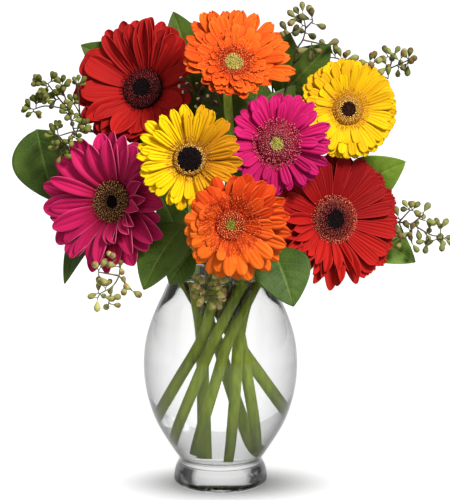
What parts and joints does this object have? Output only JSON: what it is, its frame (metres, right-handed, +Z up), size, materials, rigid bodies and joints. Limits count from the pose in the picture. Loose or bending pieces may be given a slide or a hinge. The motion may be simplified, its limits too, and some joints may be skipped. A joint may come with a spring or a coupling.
{
  "type": "gerberas in a vase",
  "caption": "Arrangement of red, orange, yellow and magenta gerberas with broad leaves and seeded eucalyptus, standing in a clear glass vase of water.",
  "frame": {"origin": "centre of the underside of the vase's foot, on the surface it stands on", "axes": "+Z up along the vase, -Y towards the front of the arrangement, +X to the right seen from the front"},
  "size_m": [0.348, 0.1857, 0.389],
  "materials": {
    "clear_glass": "clear colourless blown glass, polished",
    "water": "clear still water",
    "gerbera_stem": "fresh green plant stem, finely haired, satin",
    "red_petals": "velvety scarlet petals with fine ridges",
    "orange_petals": "soft orange petals, redder towards the middle",
    "yellow_petals": "bright yellow petals, ochre in the folds",
    "magenta_petals": "magenta petals with paler tips",
    "maroon_disc": "dark maroon florets with golden threads",
    "pale_disc": "pale florets about a yellow-green eye",
    "brown_disc": "golden florets about a brown eye",
    "magenta_disc": "pink and golden florets",
    "salal_leaf": "leathery green leaves with paler veins, satin",
    "eucalyptus": "waxy green seed pods with brown caps"
  },
  "bodies": {
    "root": {"vase": "clear_glass", "water": "water", "red_gerbera_left_stem": "gerbera_stem", "red_gerbera_left_petals": "red_petals", "red_gerbera_left_disc": "maroon_disc", "orange_gerbera_top_stem": "gerbera_stem", "orange_gerbera_top_petals": "orange_petals", "orange_gerbera_top_disc": "pale_disc", "yellow_gerbera_right_stem": "gerbera_stem", "yellow_gerbera_right_petals": "yellow_petals", "yellow_gerbera_right_disc": "brown_disc", "magenta_gerbera_right_stem": "gerbera_stem", "magenta_gerbera_right_petals": "magenta_petals", "magenta_gerbera_right_disc": "magenta_disc", "yellow_gerbera_left_stem": "gerbera_stem", "yellow_gerbera_left_petals": "yellow_petals", "yellow_gerbera_left_disc": "brown_disc", "magenta_gerbera_left_stem": "gerbera_stem", "magenta_gerbera_left_petals": "magenta_petals", "magenta_gerbera_left_disc": "magenta_disc", "orange_gerbera_low_stem": "gerbera_stem", "orange_gerbera_low_petals": "orange_petals", "orange_gerbera_low_disc": "pale_disc", "red_gerbera_right_stem": "gerbera_stem", "red_gerbera_right_petals": "red_petals", "red_gerbera_right_disc": "maroon_disc", "salal_stem_left": "salal_leaf", "salal_stem_top_left": "salal_leaf", "salal_stem_top_right": "salal_leaf", "salal_stem_right": "salal_leaf", "salal_stem_front_left": "salal_leaf", "salal_stem_front_right": "salal_leaf", "salal_stem_back": "salal_leaf", "eucalyptus_left": "eucalyptus", "eucalyptus_middle": "eucalyptus", "eucalyptus_top_right": "eucalyptus", "eucalyptus_far_right": "eucalyptus", "eucalyptus_right": "eucalyptus", "eucalyptus_low_left": "eucalyptus", "eucalyptus_front": "eucalyptus"}
  },
  "joints": []
}
